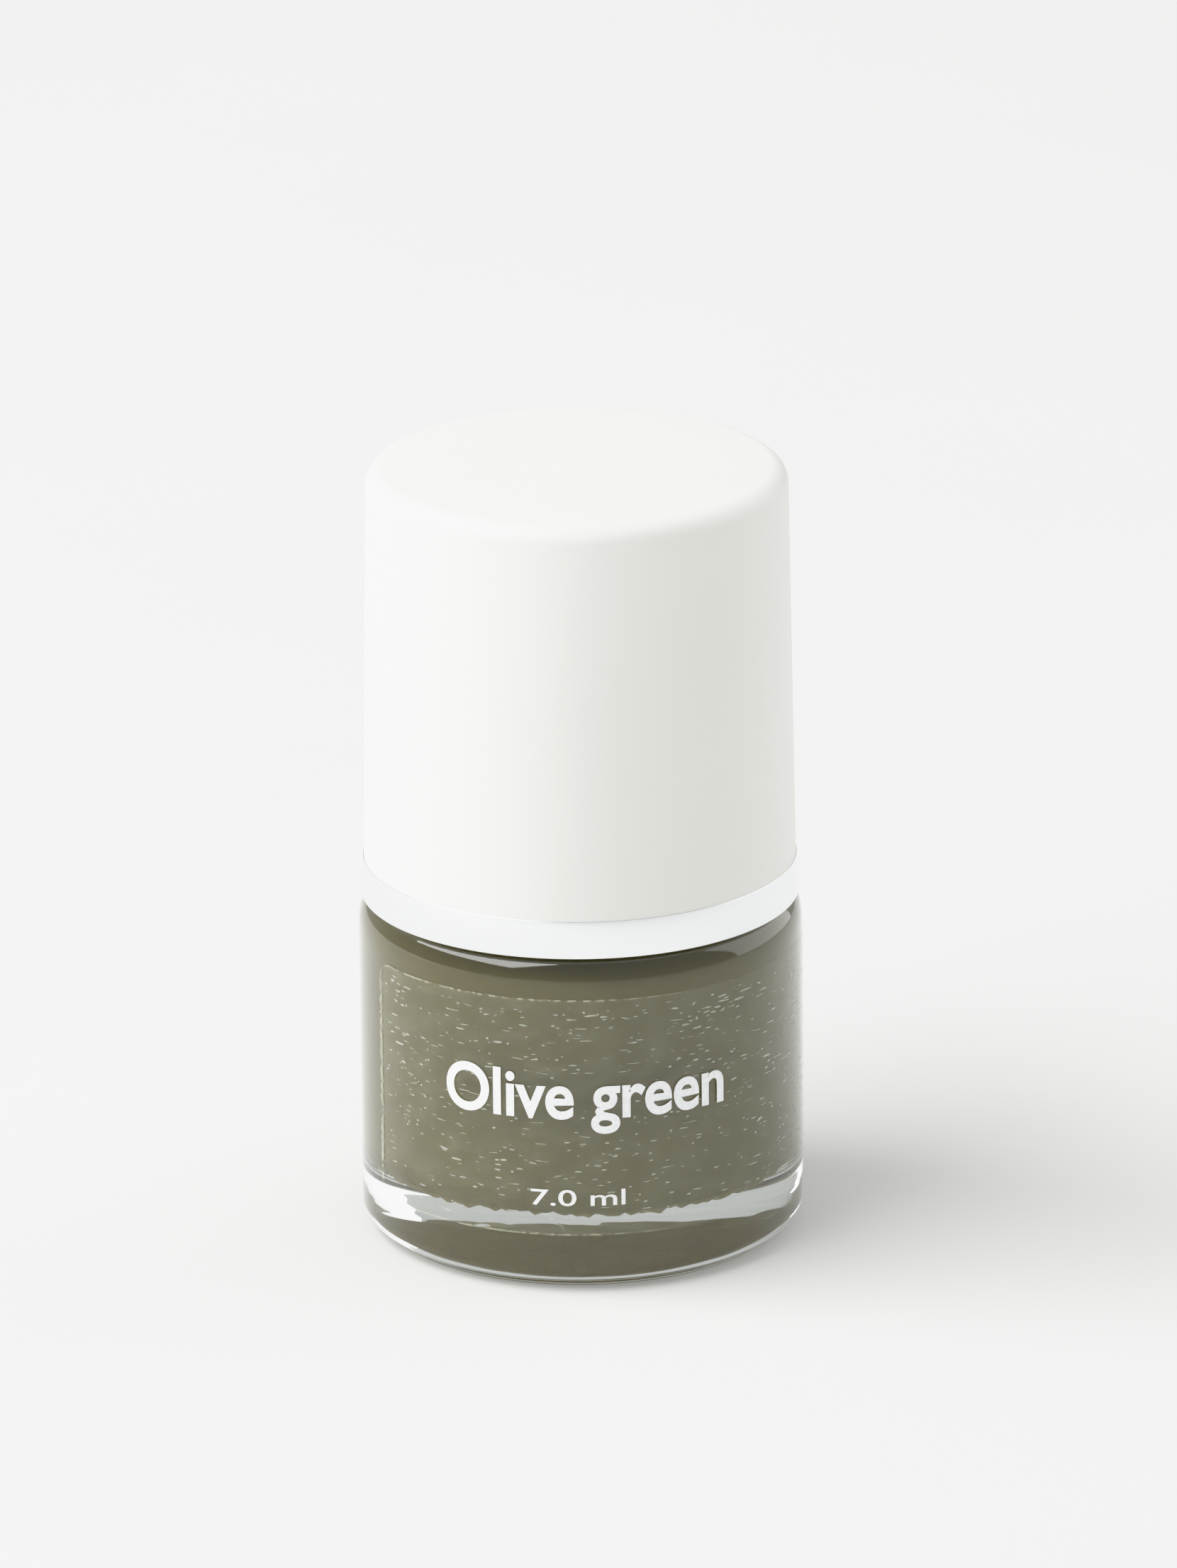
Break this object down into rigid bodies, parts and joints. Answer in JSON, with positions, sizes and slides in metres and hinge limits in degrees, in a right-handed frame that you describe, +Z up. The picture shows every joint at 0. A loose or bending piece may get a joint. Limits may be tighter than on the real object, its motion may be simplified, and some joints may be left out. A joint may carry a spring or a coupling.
{
  "type": "nail polish bottle",
  "caption": "Round glass bottle of nail polish with a tall tapered screw cap, metal collar, brush on a stem and mixing balls.",
  "frame": {"origin": "centre of the base, on the surface that the bottle stands on", "axes": "+Z up along the bottle's axis; -Y is the front, where the label's print is centred"},
  "size_m": [0.0281, 0.0282, 0.05],
  "materials": {
    "clear_glass": "clear moulded flint glass",
    "olive_lacquer": "opaque cream lacquer, liquid",
    "ball_steel": "polished stainless steel",
    "clear_film": "clear adhesive film",
    "matt_white_plastic": "matt soft-touch white",
    "polished_aluminium": "polished",
    "white_polypropylene": "moulded satin",
    "polyethylene_foam": "soft foam",
    "natural_polyethylene": "moulded, slightly translucent",
    "nylon_bristle": "nylon fibres wet with polish"
  },
  "bodies": {
    "bottle": {"glass_bottle": "clear_glass", "polish": "olive_lacquer", "wrap_label": "clear_film"},
    "ball_1": {"mixing_ball_1": "ball_steel"},
    "ball_2": {"mixing_ball_2": "ball_steel"},
    "liner": {"sealing_liner": "polyethylene_foam"},
    "brush": {"brush_stem": "natural_polyethylene", "bristles": "nylon_bristle", "tuft_anchor": "ball_steel"},
    "cap": {"outer_cap": "matt_white_plastic", "collar_ring": "polished_aluminium", "inner_cap": "white_polypropylene"}
  },
  "joints": [
    {"name": "lift_off", "type": "slide", "parent": "bottle", "child": "liner", "axis": [0, 0, 1], "range_m": [0, 0.032]},
    {"name": "thread_rise", "type": "slide", "parent": "liner", "child": "brush", "axis": [0, 0, 1], "range_m": [0, 0.0032]},
    {"name": "cap_turn", "type": "hinge", "parent": "brush", "child": "cap", "pos_m": [0, 0, 0.0245], "axis": [0, 0, 1], "range_deg": [0, 540]},
    {"name": "ball_1_roll", "type": "hinge", "parent": "bottle", "child": "ball_1", "pos_m": [0, 0, 0.0062], "axis": [0, 0, 1], "range_deg": [-75, 75]},
    {"name": "ball_2_roll", "type": "hinge", "parent": "bottle", "child": "ball_2", "pos_m": [0, 0, 0.0062], "axis": [0, 0, 1], "range_deg": [-75, 75]}
  ],
  "couplings": [
    {"joint": "thread_rise", "follows": "cap_turn", "m_per_rad": 0.00033741}
  ]
}
